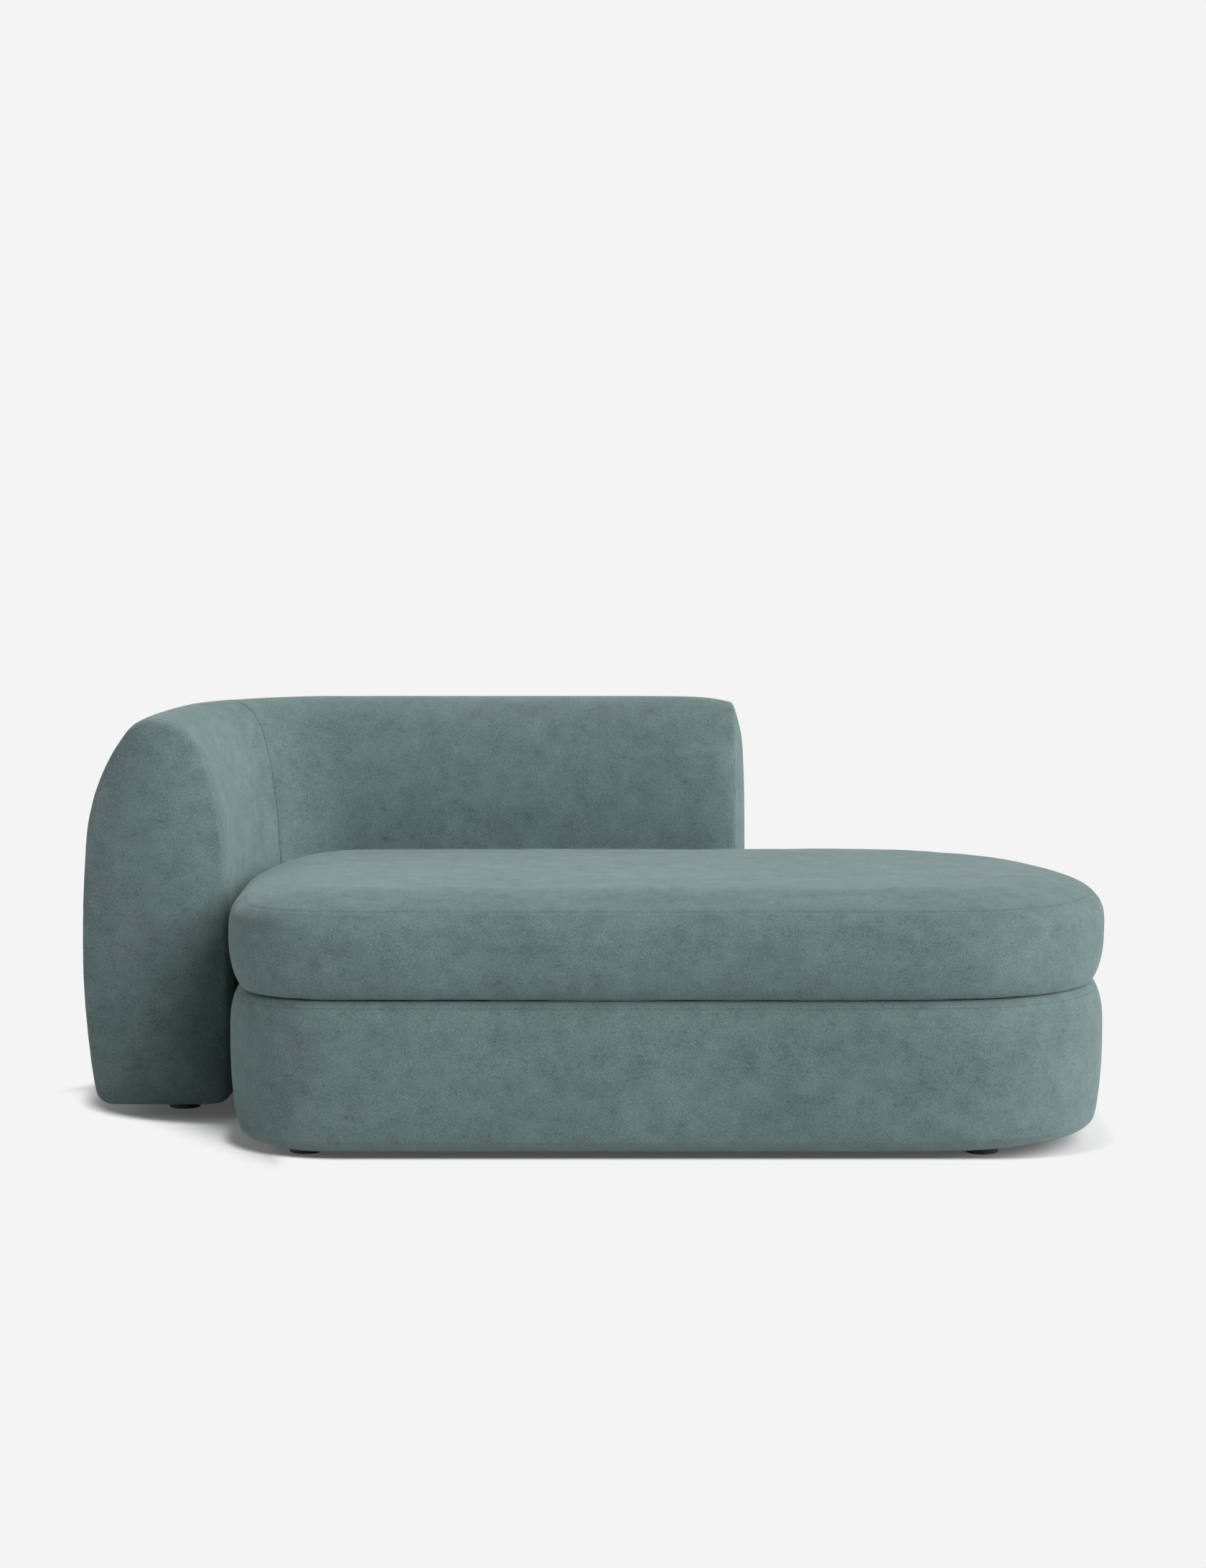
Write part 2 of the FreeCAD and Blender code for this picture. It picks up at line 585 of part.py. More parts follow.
def build_deck():
    ring = seat_ring(oblong((BASE_FRAME, BASE_FRAME + DECK_RAIL_WIDTH), (DECK_BOTTOM, DECK_TOP)))
    left = SEAT_LEFT + DECK_END_LENGTH
    right = SEAT_RIGHT - DECK_END_LENGTH
    z = (DECK_BOTTOM, DECK_TOP)
    keep("deck_left_end", ring.common(box((SEAT_LEFT, left), (SEAT_FRONT, SEAT_BACK), z)))
    keep("deck_right_end", ring.common(box((right, SEAT_RIGHT), (SEAT_FRONT, SEAT_BACK), z)))
    keep("deck_front_rail", ring.common(box((left, right), (SEAT_FRONT, SEAT_Y), z)))
    keep("deck_back_rail", ring.common(box((left, right), (SEAT_Y, SEAT_BACK), z)))

    web_z = (WEB_TOP - WEB_THICKNESS, WEB_TOP)
    field = seat_prism(BASE_FRAME + DECK_RAIL_WIDTH / 2, *web_z)
    for number in range(WEB_COUNT):
        x = SEAT_X + (number - (WEB_COUNT - 1) / 2) * WEB_PITCH
        strap = box((x - WEB_WIDTH / 2, x + WEB_WIDTH / 2), (SEAT_FRONT, SEAT_BACK), web_z)
        keep("seat_web_%d" % (number + 1), field.common(strap))
    keep("deck_pad", seat_prism(BASE_INNER, DECK_PAD_TOP - DECK_PAD, DECK_PAD_TOP))


def build_base_upholstery():
    seam = SEAT_BASE_TOP - BASE_SEAM_BELOW_TOP
    rim = (-CUSHION_OVERHANG, BASE_OPENING)
    skin = base_section().cut(base_section(FABRIC))
    side = seat_ring(skin.common(oblong(rim, (0.0, seam))))
    keep("base_side_panel", cut_all(side, JOIN_HOLES))
    top = seat_ring(skin.common(oblong(rim, (seam, SEAT_BASE_TOP))))
    middle = seat_prism(BASE_OPENING, SEAT_BASE_TOP - FABRIC, SEAT_BASE_TOP)
    keep("base_top_panel", top.fuse(middle).removeSplitter())

    foam = base_section(FABRIC + LAYER_GAP)
    foam = foam.cut(oblong((BASE_INNER - LAYER_GAP, BASE_OPENING), (DUST_COVER_TOP, SEAT_BASE_TOP)))
    keep("base_side_foam", cut_all(seat_ring(foam), JOIN_HOLES))
    sheet = seat_prism(BASE_OPENING + LAYER_GAP, DUST_COVER_TOP - DUST_COVER, DUST_COVER_TOP)
    keep("seat_dust_cover", dust_cover(sheet, SEAT_FEET))


def build_cushion():
    skin = cushion_section().cut(cushion_section(FABRIC))
    bottom_seam = CUSHION_LOW + CUSHION_BOTTOM_SEAM_RISE
    top_seam = CUSHION_SIDE_TOP + CUSHION_TOP_SEAM_RISE
    across = (-CUSHION_OVERHANG, CUSHION_RIM)
    bottom = seat_ring(skin.common(oblong(across, (CUSHION_LOW, bottom_seam))))
    middle = seat_prism(CUSHION_RIM, CUSHION_LOW, CUSHION_LOW + FABRIC)
    keep("cushion_bottom_panel", bottom.fuse(middle).removeSplitter())
    keep("cushion_side_band", seat_ring(skin.common(oblong(across, (bottom_seam, top_seam)))))
    top = seat_ring(skin.common(oblong(across, (top_seam, CUSHION_HIGH))))
    middle = seat_prism(CUSHION_RIM, CUSHION_HIGH - FABRIC, CUSHION_HIGH)
    keep("cushion_top_panel", top.fuse(middle).removeSplitter())

    lining = FABRIC + LAYER_GAP
    wrap = seat_ring(cushion_section(lining).cut(core_section(-LAYER_GAP)))
    wrap = wrap.fuse(seat_prism(CUSHION_RIM, CUSHION_LOW + lining, CORE_LOW - LAYER_GAP))
    wrap = wrap.fuse(seat_prism(CUSHION_RIM, CORE_HIGH + LAYER_GAP, CUSHION_HIGH - lining))
    keep("cushion_wrap", wrap.removeSplitter())
    core = seat_ring(core_section()).fuse(seat_prism(CUSHION_RIM, CORE_LOW, CORE_HIGH))
    keep("cushion_core", core.removeSplitter())


def build_back_frame():
    start = END_FOAM
    end = RIDGE_LENGTH - END_FOAM
    wide = (-BACK_OUTER_HALF, BACK_INNER_HALF)
    inside = arch(BACK_FRAME, FRAME_UNDERSIDE)
    plate = ridge_sweep(inside.common(oblong(wide, (FRAME_UNDERSIDE, FLOOR_TOP))), start, end)
    holes = [screw_hole(spot, FRAME_UNDERSIDE) for spot in BACK_FEET.values()]
    keep("back_bottom_plate", cut_all(plate, holes))
    rail = inside.common(oblong(wide, (BACK_RAIL_BOTTOM, BACK_RAIL_TOP)))
    keep("back_top_rail", ridge_sweep(rail, start, end))

    sheet = arch(BACK_BOARD, FRAME_UNDERSIDE).cut(arch(BACK_BOARD + BOARD, FRAME_UNDERSIDE))
    board_z = (FRAME_UNDERSIDE + BOARD, BACK_RAIL_TOP)
    inner = ridge_sweep(sheet.common(oblong((0.0, BACK_INNER_HALF), board_z)), start, end)
    keep("back_inner_board", cut_all(inner, JOIN_HOLES))
    outer = sheet.common(oblong((-BACK_OUTER_HALF, 0.0), board_z))
    keep("back_outer_board", ridge_sweep(outer, start, end))
    keep("back_joining_rail", cut_all(box(JOIN_RAIL_X, BACK_RAIL_Y, RAIL_Z), JOIN_HOLES))

    room_x = (JOIN_RAIL_X[0] - LAYER_GAP, JOIN_RAIL_X[1] + LAYER_GAP)
    room_y = (BACK_RAIL_Y[0] - PLY, BACK_RAIL_Y[1] + LAYER_GAP)
    room = box(room_x, room_y, (FLOOR_TOP, DECK_BOTTOM + LAYER_GAP))
    shape = arch(BACK_FRAME + LAYER_GAP, FRAME_UNDERSIDE)
    shape = shape.common(oblong(wide, (FLOOR_TOP, BACK_RAIL_BOTTOM)))
    pitch = (end - start - 2 * PLY) / (BACK_RIB_COUNT - 1)
    middle = (FLOOR_TOP + BACK_RAIL_BOTTOM) / 2
    for number in range(BACK_RIB_COUNT):
        origin, forward, seatward = ridge_frame(start + PLY + number * pitch)
        rib = placed(shape, origin - forward * (PLY / 2), seatward, UP).extrude(forward * PLY)
        for row in range(BACK_RIB_HOLE_COUNT):
            height = middle + (row - (BACK_RIB_HOLE_COUNT - 1) / 2) * BACK_RIB_HOLE_PITCH
            hole = rod(BACK_RIB_HOLE_RADIUS, 2 * PLY, origin + UP * height - forward * PLY, forward)
            rib = rib.cut(hole)
        keep("back_rib_%d" % (number + 1), rib.cut(room))


def build_back_upholstery():
    lining = FABRIC + LAYER_GAP
    opening = oblong((-BACK_TURN_IN_REACH, BACK_TURN_IN_REACH), (0.0, FRAME_UNDERSIDE))
    hidden = (END_FOAM, RIDGE_LENGTH - END_FOAM)
    underside = ridge_sweep(opening, *hidden)
    skin = arch(0.0, FABRIC_CLEARANCE).cut(arch(FABRIC, FABRIC_CLEARANCE + FABRIC))
    keep("arm_cover", ridge_sweep(skin, 0.0, CORNER_SEAM).cut(underside))
    back = ridge_sweep(skin, CORNER_SEAM, RIDGE_LENGTH).cut(underside)
    keep("back_cover", cut_all(back, JOIN_HOLES))

    panel = end_section().cut(end_section(FABRIC))
    filling = end_section(lining)
    foam = ridge_sweep(arch(lining, FABRIC_CLEARANCE + lining), 0.0, RIDGE_LENGTH)
    for name, distance, outwards in (("arm_end_panel", 0.0, -1), ("back_end_panel", RIDGE_LENGTH, 1)):
        keep(name, end_pillow(panel, END_BULGE - FABRIC, END_BULGE, distance, outwards))
        foam = foam.fuse(end_pillow(filling, 0.0, END_BULGE - lining, distance, outwards))
    cavity = arch(BACK_CAVITY, DUST_COVER_TOP)
    wide = (-BACK_OUTER_HALF, BACK_INNER_HALF)
    cavity = cavity.common(oblong(wide, (0.0, BACK_RAIL_TOP + LAYER_GAP)))
    cavity = ridge_sweep(cavity, hidden[0] - LAYER_GAP, hidden[1] + LAYER_GAP)
    foam = foam.removeSplitter().cut(cavity).cut(underside)
    keep("back_foam", cut_all(foam, JOIN_HOLES))

    half = BACK_TURN_IN_REACH - LAYER_GAP
    sheet = oblong((-half, half), (DUST_COVER_TOP - DUST_COVER, DUST_COVER_TOP))
    sheet = ridge_sweep(sheet, hidden[0] + LAYER_GAP, hidden[1] - LAYER_GAP)
    keep("back_dust_cover", dust_cover(sheet, BACK_FEET))


def build_hardware():
    for name, spot in SEAT_FEET.items():
        keep("seat_foot_" + name, foot(spot))
    for name, spot in BACK_FEET.items():
        keep("back_foot_" + name, foot(spot))
    spots = list(SEAT_FEET.values()) + list(BACK_FEET.values())
    keep("foot_screws", Part.makeCompound([foot_screw(spot) for spot in spots]))

    start, end = SEAT_BACK_RAIL_Y[0], BACK_RAIL_Y[1]
    heads = join_rod(JOIN_HEAD_RADIUS, start - JOIN_HEAD_HEIGHT, start)
    shanks = join_rod(JOIN_BOLT_RADIUS, start, end + JOIN_HEAD_HEIGHT)
    keep("joining_bolts", Part.makeCompound([head.fuse(shank) for head, shank in zip(heads, shanks)]))
    nuts = join_rod(JOIN_HEAD_RADIUS, end, end + JOIN_HEAD_HEIGHT)
    holes = join_rod(JOIN_BOLT_RADIUS + HOLE_CLEARANCE, end, end + JOIN_HEAD_HEIGHT)
    keep("joining_nuts", Part.makeCompound([nut.cut(hole) for nut, hole in zip(nuts, holes)]))


def main():
    build_seat_frame()
    build_deck()
    build_base_upholstery()
    build_cushion()
    build_back_frame()
    build_back_upholstery()
    build_hardware()
    os.makedirs("parts", exist_ok=True)
    for name, shape in PARTS.items():
        shape.exportStep("parts/%s.step" % name)
        size = shape.BoundBox
        low = "%.0f %.0f %.0f" % (size.XMin, size.YMin, size.ZMin)
        high = "%.0f %.0f %.0f" % (size.XMax, size.YMax, size.ZMax)
        facts = (name, len(shape.Solids), shape.isValid(), shape.Volume / 1000, low, high)
        print("%-22s solids %d valid %s cm3 %.1f from %s to %s" % facts)


main()
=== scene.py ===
import bpy
import bmesh
import json
import math
from mathutils import Matrix, Vector, noise
from mathutils.geometry import intersect_point_line


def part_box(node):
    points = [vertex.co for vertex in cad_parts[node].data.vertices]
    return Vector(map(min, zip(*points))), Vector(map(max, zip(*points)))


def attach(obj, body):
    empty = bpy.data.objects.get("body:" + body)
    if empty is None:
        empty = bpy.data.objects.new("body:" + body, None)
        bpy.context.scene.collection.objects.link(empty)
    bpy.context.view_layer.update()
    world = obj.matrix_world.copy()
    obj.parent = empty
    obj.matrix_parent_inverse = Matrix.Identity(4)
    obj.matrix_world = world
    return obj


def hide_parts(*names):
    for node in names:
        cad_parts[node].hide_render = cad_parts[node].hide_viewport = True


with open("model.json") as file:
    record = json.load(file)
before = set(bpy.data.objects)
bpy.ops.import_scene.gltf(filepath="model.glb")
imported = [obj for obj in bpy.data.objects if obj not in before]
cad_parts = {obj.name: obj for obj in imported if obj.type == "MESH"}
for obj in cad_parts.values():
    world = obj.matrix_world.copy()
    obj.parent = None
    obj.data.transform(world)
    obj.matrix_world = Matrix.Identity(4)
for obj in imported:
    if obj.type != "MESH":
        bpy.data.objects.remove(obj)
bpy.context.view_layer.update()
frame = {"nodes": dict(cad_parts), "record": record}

# Chaise longue, in metres: +X right, +Y back, +Z up, floor at Z = 0

X, Y, Z = Vector((1, 0, 0)), Vector((0, 1, 0)), Vector((0, 0, 1))

# How finely the covers are drawn
SECTION_STEP = 0.008
SWEEP_STEP = 0.015
PAD_GRID = 0.020
END_GRID = 0.012
SAME_PLACE = 1e-5

# Seat, with the base's underside and the crease in which the cushion lies on the base
SEAT_LOW, SEAT_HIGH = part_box("base_side_panel")
SEAT_LENGTH = SEAT_HIGH.x - SEAT_LOW.x
SEAT_DEPTH = SEAT_HIGH.y - SEAT_LOW.y
RIGHT_STRAIGHT = 0.020
BASE_UNDERSIDE = 0.016
CREASE = 0.2818
BASE_CLEARANCE = 0.0003
CUSHION_CLEARANCE = 0.0002
BASE_RIM_SPARE = 0.002

# Cushion: what it stands proud of the base, the upright part of its side, and the width of its rim
CUSHION_PROUD = 0.002
CUSHION_BAND = 0.0412
CUSHION_RIM = 0.150

# Backrest
BACK_HEIGHT = 0.720
BACK_INNER_HALF = 0.131
BACK_OUTER_HALF = 0.135
BACK_LEAN_RADIUS = 1.6
BACK_BOTTOM_RADIUS = 0.030
BACK_UNDERSIDE = 0.024
FLANK_RADIUS = 2.150
FLANK_TURN = 5.3
INNER_CROWN_RADIUS = 0.091
INNER_SHOULDER_TURN = 15.8
OUTER_CROWN_RADIUS = 0.067
OUTER_SHOULDER_TURN = 31.2
ARM_STRAIGHT = 0.010
BACK_STRAIGHT = 0.726
CORNER_SEAM_TURN = 40.0

# Ends of the backrest: how far the panels bulge, and how the cover narrows towards them
END_BULGE = 0.024
ARM_END_DRAWN_IN = 0.007
ARM_END_FADE = 0.014
BACK_END_DRAWN_IN = 0.0137
BACK_END_FADE = 0.032
FADES_REACHED = 6
ON_END_PLANE = 0.001

# Filling: how far the covers swell, and what is held, beside seams and below a height
SWELL = 0.002
FILL_PRESSURE = 4.0
FILL_FRAMES = 20
COVER_MASS = 0.4
HELD_BESIDE_SEAM = 0.012
HELD_OVER_FLOOR = 0.020
HELD_OVER_CREASE = 0.006

# Slight unevenness of the stuffed covers, which fades out towards the floor
COVER_UNEVEN = 0.0008
CUSHION_UNEVEN = 0.0016
UNEVEN_SCALE = 5.0
UNEVEN_SMOOTHNESS = 0.9
UNEVEN_STEP_UP = 2.0
UNEVEN_STEPS = 4
EVEN_BELOW = 0.03
EVEN_FADE = 0.04

# Seams: a groove, a line of painted shade in it, and the rippled fabric that is gathered beside it
SEAM_WIDTH = 0.0035
SEAM_DEPTH = 0.0009
SEAM_SHARPNESS = 1.5
SEAM_LINE = 0.4
SEAM_CUTS_REACH = 4
GATHER_WIDTH = 0.030
GATHER_DEPTH = 0.0005
GATHER_SCALE = 42

# Places of the seams
BASE_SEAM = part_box("base_top_panel")[0].z + 0.003
CUSHION_LOWER_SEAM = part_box("cushion_side_band")[0].z
CUSHION_UPPER_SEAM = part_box("cushion_side_band")[1].z
ARM_SEAM_SET_BACK = 0.014

# Strengths of the seams
BASE_SEAM_STRENGTH = 0.6
CUSHION_SEAM_STRENGTH = 0.5
ARM_SEAM_STRENGTH = 0.4
BACK_SEAM_STRENGTH = 0.9
CORNER_SEAM_STRENGTH = 1.5

# Velvet: full colour of the pile, how much each pattern changes its brightness, and how much
# painted shade darkens the seam lines
PILE = (0.235, 0.340, 0.328, 1)
BLACK = (0.0, 0.0, 0.0, 1)
BROAD_NAP = 0.34
PATCHY_NAP = 0.70
GRAIN_NAP = 2.2
SMUDGE_NAP = 0.16
# How much darker the seam lines are painted, as painted shade for their grooves
SEAM_PAINTED_SHADE = 0.35

# Floor and backdrop
FLOOR_HALF = 30.0
FLOOR_GREY = (0.80, 0.80, 0.80, 1)
PAPER = (0.905, 0.905, 0.905, 1)
WHITE = (1, 1, 1, 1)
AIR_STRENGTH = 0.10

# Rectangles of the floor that keep the object's shade: two opposite corners, the radius at the
# corners, and the width of the soft border. The arm's also ends towards the open floor at its
# left front, between two distances from the middle.
SEAT_SHADE = ((-0.62, -0.45), (0.896, 0.40), 0.20, 0.03)
BACK_SHADE = ((-0.896, -0.10), (0.29, 0.56), 0.24, 0.05)
ARM_SHADE = ((-0.896, -0.56), (-0.60, 0.25), 0.05, 0.10)
OPEN_SIDE = (-0.87, -0.5, 0.0)
OPEN_FROM, OPEN_TO = 0.60, 0.77
SHADE_LIFTED = 0.07

# Lamps and camera
LAMP_SOFTNESS = 35
SENSOR = 36.0
LENS = 97.56
CAMERA_PLACE = (0.0223, -7.5713, 1.33775)
CAMERA_DOWN = 0.098
CAMERA_REACH = 200.0


def quarter(radii, turns):
    """Radius and degrees of each arc of a quarter turn; the last arc takes what is left of it."""
    return list(zip(radii, turns + (90.0 - sum(turns),)))


def reach(arcs):
    """How far a quarter turn goes ahead, and how far aside."""
    ahead = aside = turned = 0.0
    for radius, turn in arcs:
        low, high = math.radians(turned), math.radians(turned + turn)
        ahead += radius * (math.sin(high) - math.sin(low))
        aside += radius * (math.cos(low) - math.cos(high))
        turned += turn
    return ahead, aside


def level(radii, turns, depth):
    """A quarter turn from upright to level, as deep inwards as asked; its last radius is solved."""
    short = reach(quarter(radii + (0.0,), turns))[1]
    return quarter(radii + ((depth - short) / math.cos(math.radians(sum(turns))),), turns)


def bends(arcs, side=1):
    """Arcs of a quarter turn as steps of a route, to the left, or to the right for a side of -1."""
    return [(radius, side * turn) for radius, turn in arcs]


# A route is a list of (size, turn): a straight of that length where turn is 0, or else an arc of
# that radius through that many degrees, to the left where positive.

FRONT_LEFT = quarter((1.535, 0.170, 1.545), (7.4, 78.9))
FRONT_RIGHT = quarter((1.350, 0.290, 1.100), (7.5, 75.0))
BACK_RIGHT_RADIUS = SEAT_DEPTH - reach(FRONT_RIGHT)[1] - RIGHT_STRAIGHT
BACK_LEFT = quarter((0.950, 0.198, 1.230), (3.0, 75.5))

# Outline of the seat, walked anticlockwise from the left end of its front side
SEAT_START = Vector((SEAT_LOW.x + reach(FRONT_LEFT)[1], SEAT_LOW.y, 0))
SEAT_ROUTE = [(SEAT_LENGTH - reach(FRONT_LEFT)[1] - reach(FRONT_RIGHT)[0], 0)]
SEAT_ROUTE += bends(FRONT_RIGHT) + [(RIGHT_STRAIGHT, 0), (BACK_RIGHT_RADIUS, 90.0)]
SEAT_ROUTE += [(SEAT_LENGTH - BACK_RIGHT_RADIUS - reach(BACK_LEFT)[0], 0)] + bends(BACK_LEFT)
SEAT_ROUTE += [(SEAT_DEPTH - reach(BACK_LEFT)[1] - reach(FRONT_LEFT)[0], 0)] + bends(FRONT_LEFT)

# Ridge of the backrest, walked from the arm's front end to the right end
ARM_CORNER = quarter((1.150, 0.280), (15.7,))
ARM_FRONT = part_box("arm_cover")[0].y
BACK_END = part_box("back_cover")[1].x
RIDGE_START = Vector((BACK_END - BACK_STRAIGHT - reach(ARM_CORNER)[1], ARM_FRONT, 0))
RIDGE_ROUTE = [(ARM_STRAIGHT, 0)] + bends(ARM_CORNER, -1) + [(BACK_STRAIGHT, 0)]
RIDGE_Y = ARM_FRONT + ARM_STRAIGHT + reach(ARM_CORNER)[0]
CORNER_CENTRE = Vector((BACK_END - BACK_STRAIGHT, RIDGE_Y - ARM_CORNER[1][0], 0))

# Edges of the base and of the cushion
BASE_LOWER_EDGE = quarter((0.180, 0.050, 0.012, 0.833), (18.0, 30.0, 33.0))
BASE_UPPER_EDGE = quarter((0.150, 0.040, 0.006), (20.0, 25.0))
CUSHION_LOWER_EDGE = quarter((0.007, 0.045, 0.172), (45.0, 25.0))
CUSHION_UPPER_EDGE = level((0.022, 0.085), (45.0, 25.0), CUSHION_RIM + CUSHION_PROUD)
BASE_RIM = reach(BASE_LOWER_EDGE)[0] + BASE_RIM_SPARE


def pull(bm, geom, place, heading, route, right, up, spacing):
    """Drag points or edges along a route in the plane of right and up."""
    normal = right.cross(up)
    place = place.copy()
    for size, turn in route:
        if size < SAME_PLACE:
            continue
        angle = math.radians(heading)
        forward = right * math.cos(angle) + up * math.sin(angle)
        if turn == 0:
            count = max(1, round(size / spacing))
            shift = forward * (size / count)
            geom = bmesh.ops.spin(
                bm, geom=geom, cent=place, axis=normal, dvec=shift, angle=0.0, steps=count
            )["geom_last"]
            place += forward * size
            continue
        left = normal.cross(forward)
        centre = place + left * (size if turn > 0 else -size)
        turned = math.radians(turn)
        count = max(2, round(abs(turned) * size / spacing))
        geom = bmesh.ops.spin(
            bm, geom=geom, cent=centre, axis=normal, angle=turned, steps=count
        )["geom_last"]
        place = centre + Matrix.Rotation(turned, 3, normal) @ (place - centre)
        heading += turn


def finish_mesh(bm, name):
    """Make a drawn shape a piece."""
    mesh = bpy.data.meshes.new(name)
    bm.to_mesh(mesh)
    bm.free()
    piece = bpy.data.objects.new(name, mesh)
    bpy.context.scene.collection.objects.link(piece)
    return piece


def close(bm):
    """Fill the open ends of a swept shape; gives back the faces that close it."""
    bmesh.ops.remove_doubles(bm, verts=bm.verts, dist=SAME_PLACE)
    ends = bmesh.ops.holes_fill(bm, edges=bm.edges, sides=0)["faces"]
    bmesh.ops.recalc_face_normals(bm, faces=bm.faces)
    return ends


def off_plane(place, at, normal):
    """How far a place is from a plane."""
    return abs((place - at).dot(normal))


def with_edges(faces):
    """Faces together with their edges and corners, each once."""
    return list(dict.fromkeys(item for face in faces for item in (face, *face.edges, *face.verts)))


def grid(bm, faces, axes, spacing):
    """Cut flat faces into a grid, so that they can swell and crease."""
    corners = [vert.co.copy() for face in faces for vert in face.verts]
    geom = with_edges(faces)
    for axis in axes:
        low = min(corner.dot(axis) for corner in corners)
        high = max(corner.dot(axis) for corner in corners)
        count = int((high - low) / spacing)
        for number in range(1, count):
            place = axis * (low + (high - low) * number / count)
            geom = bmesh.ops.bisect_plane(bm, geom=geom, plane_co=place, plane_no=axis)["geom"]
    return [item for item in geom if isinstance(item, bmesh.types.BMFace)]


def seat_pad(name, low, high, proud, lower_edge, upper_edge, rim):
    """A pad with the seat's outline: the section of its rim, dragged round, and closed."""
    bm = bmesh.new()
    start = SEAT_START + Y * rim + Z * low
    route = [(rim + proud - reach(lower_edge)[0], 0)] + bends(lower_edge, -1)
    route += [(high - low - reach(lower_edge)[1] - reach(upper_edge)[0], 0)]
    route += bends(upper_edge, -1) + [(rim + proud - reach(upper_edge)[1], 0)]
    point = bmesh.ops.create_vert(bm, co=start)["vert"]
    pull(bm, point, start, 180.0, route, Y, Z, SECTION_STEP)
    section = bm.verts[:] + bm.edges[:]
    pull(bm, section, SEAT_START, 0.0, SEAT_ROUTE, X, Y, SWEEP_STEP)
    grid(bm, close(bm), (X, Y), PAD_GRID)
    return finish_mesh(bm, name)


def arch_side(half, crown_radius, shoulder_turn):
    """Arcs of one side of the backrest's arch, from its upright flank to the level crown."""
    flank = math.cos(math.radians(FLANK_TURN))
    crown = math.cos(math.radians(FLANK_TURN + shoulder_turn))
    shoulder = (half - FLANK_RADIUS * (1 - flank) - crown_radius * crown) / (flank - crown)
    return quarter((FLANK_RADIUS, shoulder, crown_radius), (FLANK_TURN, shoulder_turn))


def taper(bm, ends, place, outward, amount, fade):
    """Draw the cover in towards an end seam: by amount at the seam, less and less away from it."""
    for vert in bm.verts:
        away = (place - vert.co).dot(outward)
        if away > fade * FADES_REACHED:
            continue
        sides = [face.normal for face in vert.link_faces if face not in ends]
        vert.co -= sum(sides, Vector()).normalized() * amount * math.exp(-away / fade)


def puff(bm, faces, outward, height, rise):
    """Dome an end panel: it rises from its border to its full height over the distance rise."""
    panel = set(faces)
    edges = [edge for face in faces for edge in face.edges]
    border = [edge for edge in edges if not panel.issuperset(edge.link_faces)]
    runs = [[vert.co.copy() for vert in edge.verts] for edge in border]
    held = {vert for edge in border for vert in edge.verts}
    for vert in {vert for face in faces for vert in face.verts} - held:
        away = rise
        for first, last in runs:
            near, share = intersect_point_line(vert.co, first, last)
            near = first.lerp(last, min(1.0, max(0.0, share)))
            away = min(away, (vert.co - near).length)
        vert.co += outward * height * (1.0 - (1.0 - away / rise) ** 2)


def backrest_pad(name):
    """The backrest: its arch, drawn at the arm's end, dragged along the ridge, with domed ends."""
    inner = arch_side(BACK_INNER_HALF, INNER_CROWN_RADIUS, INNER_SHOULDER_TURN)
    outer = arch_side(BACK_OUTER_HALF, OUTER_CROWN_RADIUS, OUTER_SHOULDER_TURN)
    corner = BACK_BOTTOM_RADIUS
    lean_radius = BACK_LEAN_RADIUS - corner
    lean = math.asin((BACK_HEIGHT - reach(outer)[0] - BACK_UNDERSIDE - corner) / lean_radius)
    edge = lean_radius * (1 - math.cos(lean)) - BACK_OUTER_HALF
    route = [(BACK_INNER_HALF - edge - 2 * corner, 0), (corner, 90.0)]
    route += [(BACK_HEIGHT - reach(inner)[0] - BACK_UNDERSIDE - corner, 0)] + bends(inner)
    route += bends(reversed(outer)) + [(BACK_LEAN_RADIUS, math.degrees(lean))]
    route += [(corner, 90.0 - math.degrees(lean))]
    bm = bmesh.new()
    start = RIDGE_START + X * (edge + corner) + Z * BACK_UNDERSIDE
    point = bmesh.ops.create_vert(bm, co=start)["vert"]
    pull(bm, point, start, 0.0, route, X, Z, SECTION_STEP)
    bmesh.ops.remove_doubles(bm, verts=bm.verts, dist=SAME_PLACE)
    section = bm.verts[:] + bm.edges[:]
    pull(bm, section, RIDGE_START, 90.0, RIDGE_ROUTE, X, Y, SWEEP_STEP)
    ends = close(bm)
    for place, outward, across, amount, fade in (
        (Y * ARM_FRONT, -Y, X, ARM_END_DRAWN_IN, ARM_END_FADE),
        (X * BACK_END, X, Y, BACK_END_DRAWN_IN, BACK_END_FADE),
    ):
        taper(bm, ends, place, outward, amount, fade)
        panel = [
            face for face in ends
            if off_plane(face.calc_center_median(), place, outward) < ON_END_PLANE
        ]
        puff(bm, grid(bm, panel, (across, Z), END_GRID), outward, END_BULGE, BACK_INNER_HALF)
    return finish_mesh(bm, name)


def bake(piece):
    """Make what the modifiers show the piece's own mesh."""
    seen = piece.evaluated_get(bpy.context.evaluated_depsgraph_get())
    mesh = bpy.data.meshes.new_from_object(seen)
    piece.modifiers.clear()
    piece.data = mesh


def edit(piece, change):
    """Run a change on the piece's mesh."""
    bm = bmesh.new()
    bm.from_mesh(piece.data)
    bm.normal_update()
    change(bm)
    bm.to_mesh(piece.data)
    bm.free()


